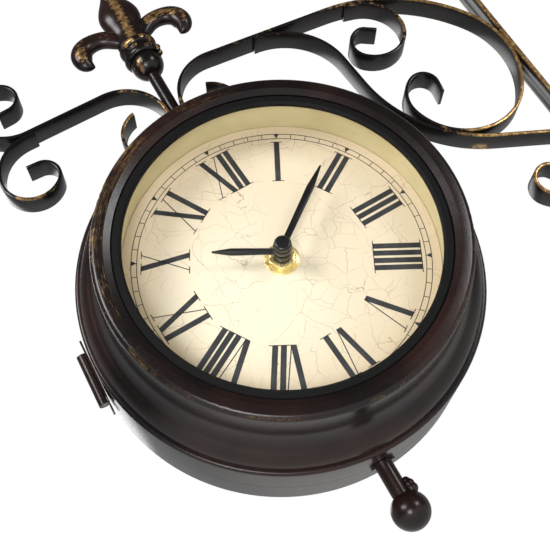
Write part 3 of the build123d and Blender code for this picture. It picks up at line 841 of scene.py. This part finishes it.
def trackTree():
    tree, wire, given = newTree("minuteTrack", minuteTrack)
    width, ink = given["Line width"], given["Ink"]
    outer, inner = given["Outer radius"], given["Inner radius"]
    bar = wire.node("GeometryNodeCurvePrimitiveQuadrilateral", {}, {"Width": width, "Height": ink})
    parts = []
    for radius in (outer, inner):
        values = {"Resolution": given["Smoothness"], "Radius": radius}
        ring = wire.node("GeometryNodeCurvePrimitiveCircle", {}, values)
        parts.append(wire.node("GeometryNodeCurveToMesh", {}, {"Curve": ring, "Profile Curve": bar}))
    tickSize = wire.node("ShaderNodeCombineXYZ", {}, {0: outer - inner, 1: width, 2: ink})
    tick = wire.node("GeometryNodeMeshCube", {}, {"Size": tickSize})
    values = {"Vertices": 3, "Radius Top": 1.0, "Radius Bottom": 1.0, "Depth": ink}
    wedge = wire.node("GeometryNodeMeshCone", {}, values)
    pointed = wire.node("GeometryNodeTransform", {}, {"Geometry": wedge, "Rotation": (0.0, 0.0, math.pi)})
    # a triangle of radius 1 is 1.5 high and 1.7321 wide
    values = {0: given["Mark height"] / 1.5, 1: given["Mark base"] / 1.7321, 2: 1.0}
    markSize = wire.node("ShaderNodeCombineXYZ", {}, values)
    rows = (
        (tick, given["Minutes"], (outer + inner) * 0.5, (1.0, 1.0, 1.0)),
        (pointed, given["Hours"], outer - given["Mark height"] / 3.0, markSize),
    )
    for shape, count, radius, scale in rows:
        dots = wire.node("GeometryNodeMeshCircle", {}, {"Vertices": count, "Radius": radius})
        out = wire.node("GeometryNodeInputPosition")
        axes = {"axis": "X", "pivot_axis": "Z"}
        lean = wire.node("FunctionNodeAlignRotationToVector", axes, {"Vector": out})
        values = {"Points": dots, "Instance": shape, "Rotation": lean, "Scale": scale}
        parts.append(wire.node("GeometryNodeInstanceOnPoints", {}, values))
    join = tree.nodes.new("GeometryNodeJoinGeometry")
    for part in parts:
        tree.links.new(part.socket, join.inputs[0])
    closeTree(wire, Wire(tree, join.outputs[0]), numeralInk)
    return tree


track = trackTree()
for side, body in dialBody.items():
    mesh = grown(track, side + "_minute_track", minuteTrack)
    form = bmesh.new()
    form.from_mesh(mesh)
    stand = Matrix.Rotation(math.pi / 2, 3, "X")  # the track is grown lying flat
    turn = Matrix.Rotation(-dialArt["turn"], 3, "Y")
    bmesh.ops.rotate(form, verts=form.verts, cent=(0, 0, 0), matrix=turn @ stand)
    lift = -dialArt["cardDepth"] - dialArt["lift"] - dialArt["ink"] / 2
    bmesh.ops.translate(form, verts=form.verts, vec=(0, lift, 0))
    forSide(form, side).to_mesh(mesh)
    form.free()
    newPiece(side + "_minute_track", mesh, numeralInk, body)
print("minute tracks grown")


# lumps of weld under the paint, where the finial and the knob are joined
weldLumps = {  # middle of each lump and its radius, in mm
    "bracket_and_rear_half": [
        ((-183.4, -5.0, 103.2), 1.9),
        ((-183.8, -5.6, 101.2), 1.6),
        ((-183.4, -3.8, 99.8), 1.8),
        ((-189.2, -1.6, 92.4), 1.4),
        ((-189.6, 1.2, 91.8), 1.2),
        ((-195.6, -1.4, 92.2), 1.2),
    ],
    "case_knob": [
        ((-187.6, -1.6, -175.0), 1.9),
        ((-187.2, -1.8, -177.0), 2.6),
        ((-187.0, -2.0, -179.2), 2.8),
    ],
}
weldShape = {"Voxel": 0.25 * mm, "Knobble": 0.3 * mm, "Grain": 330.0}
weldShade = 150.0  # degrees


# the lumps run together as one volume, whose skin is pushed in and out
def weldTree():
    tree, wire, given = newTree("weldLumps", weldShape)
    size = wire.node("GeometryNodeInputNamedAttribute", {"data_type": "FLOAT"}, {"Name": "size"})
    dots = wire.node("GeometryNodeMeshToPoints", {}, {"Mesh": given["Geometry"], "Radius": size})
    values = {"Points": dots, "Radius": size, "Voxel Size": given["Voxel"]}
    cloud = wire.node("GeometryNodePointsToVolume", {"resolution_mode": "VOXEL_SIZE"}, values)
    skin = wire.node("GeometryNodeVolumeToMesh", {}, {"Volume": cloud})
    spot = wire.node("GeometryNodeInputPosition")
    outward = wire.node("GeometryNodeInputNormal")
    rough = (wire.noise(spot, given["Grain"], 2.0) - 0.5) * given["Knobble"]
    push = wire.node("ShaderNodeVectorMath", {"operation": "SCALE"}, {0: outward, "Scale": rough})
    pushed = wire.node("GeometryNodeSetPosition", {}, {"Geometry": skin, "Offset": push})
    closeTree(wire, pushed, roundPaint)
    return tree


welds = weldTree()
for body, lumps in weldLumps.items():
    seed = bpy.data.meshes.new("seed")
    seed.from_pydata([Vector(spot) * mm for spot, radius in lumps], [], [])
    sizes = seed.attributes.new("size", "FLOAT", "POINT")
    for item, (spot, radius) in zip(sizes.data, lumps):
        item.value = radius * mm
    mesh = smoothed(grown(welds, body + "_welds", weldShape, seed), weldShade)
    newPiece(body + "_welds", mesh, roundPaint, body)
print("welds grown")


# floor, light and camera
studio = {
    "floor": -0.36,
    "floorRadius": 3.0,
    "floorSides": 96,
    "floorTones": (tone(236, 236, 234), tone(242, 242, 240)),
    "floorNoise": (3.0, 2.0),
    "floorRoughness": 0.7,
    "floorSpecular": 0.1,
    "floorGlow": 0.25,
    "eye": Vector((-0.29126, -0.41603, -0.22979)),
    "right": Vector((0.88148, -0.01324, -0.47203)),
    "up": Vector((0.41944, -0.43726, 0.79554)),
    "lens": 59.44,
    "sensor": 36.0,
    "clipStart": 0.01,
    "front": 0.1,  # strengths of the surroundings
    "behind": 0.45,
    "overhead": 0.4,
    "turnsBehind": (-0.25, 0.45),  # how far back and how high the surroundings change
    "turnsOverhead": (0.35, 0.8),
    "aim": Vector((-0.19, 0.0, -0.05)),
    "lamps": {  # place, width in metres, watts and spread in degrees
        "key": ((-0.9, -0.9, 0.6), 0.6, 14.0, 180.0),
        "fill": ((0.64, -1.0, 0.1), 0.35, 4.0, 180.0),
        "low": ((-0.45, -0.65, -0.3), 0.25, 0.6, 80.0),
        "rear": ((-0.4, 1.0, 0.5), 0.8, 3.0, 180.0),
    },
}
white = (1.0, 1.0, 1.0, 1.0)


def buildFloor():
    form = bmesh.new()
    bmesh.ops.create_circle(form, cap_ends=True, segments=studio["floorSides"], radius=studio["floorRadius"])
    bmesh.ops.translate(form, verts=form.verts, vec=(0, 0, studio["floor"]))
    floor = bpy.data.objects.new("floor", fromForm("floor", form))
    scene.collection.objects.link(floor)
    material, wire, place = startMaterial("pale_floor")
    sockets = {
        "Base Color": wire.noise(place, *studio["floorNoise"]).blend(*studio["floorTones"]),
        "Roughness": studio["floorRoughness"],
        "Specular IOR Level": studio["floorSpecular"],
        "Emission Color": white,
        "Emission Strength": studio["floorGlow"],
    }
    closeMaterial(wire, sockets)
    floor.data.materials.append(material)


def addLamp(name, spot, width, watts, spread):
    lamp = bpy.data.lights.new(name, "AREA")
    lamp.shape = "DISK"
    lamp.size = width
    lamp.energy = watts
    lamp.spread = math.radians(spread)
    holder = bpy.data.objects.new(name, lamp)
    holder.location = spot
    holder.rotation_euler = (studio["aim"] - Vector(spot)).to_track_quat("-Z", "Y").to_euler()
    scene.collection.objects.link(holder)
    holder.visible_camera = False


def buildWorld():
    world = bpy.data.worlds.new("studio")
    world.use_nodes = True
    world.node_tree.nodes.clear()
    wire = Wire(world.node_tree)
    seen = wire.node("ShaderNodeLightPath", {}, {}, "Is Camera Ray")  # the camera sees plain white
    back, rise = wire.node("ShaderNodeTexCoord", {}, {}, "Generated").split()[1:]
    level = rise.absolute().ramp(*studio["turnsOverhead"], 1.0, studio["overhead"])
    behind = back.ramp(*studio["turnsBehind"]) * level
    soft = behind * (studio["behind"] - studio["front"]) + studio["front"]
    bright = seen * (1.0 - soft) + soft
    glow = wire.node("ShaderNodeBackground", {}, {"Color": white, "Strength": bright})
    wire.node("ShaderNodeOutputWorld", {}, {"Surface": glow})
    scene.world = world


def buildCamera():
    lens = bpy.data.cameras.new("camera")
    lens.lens = studio["lens"]
    lens.sensor_width = studio["sensor"]
    lens.clip_start = studio["clipStart"]
    camera = bpy.data.objects.new("camera", lens)
    right, up = studio["right"].normalized(), studio["up"].normalized()
    turn = Matrix((right, up, right.cross(up))).transposed().to_4x4()
    camera.matrix_world = Matrix.Translation(studio["eye"]) @ turn
    scene.collection.objects.link(camera)
    scene.camera = camera


buildFloor()
buildWorld()
buildCamera()
for name, lamp in studio["lamps"].items():
    addLamp(name, *lamp)
scene.view_settings.view_transform = "Standard"
print("studio set")
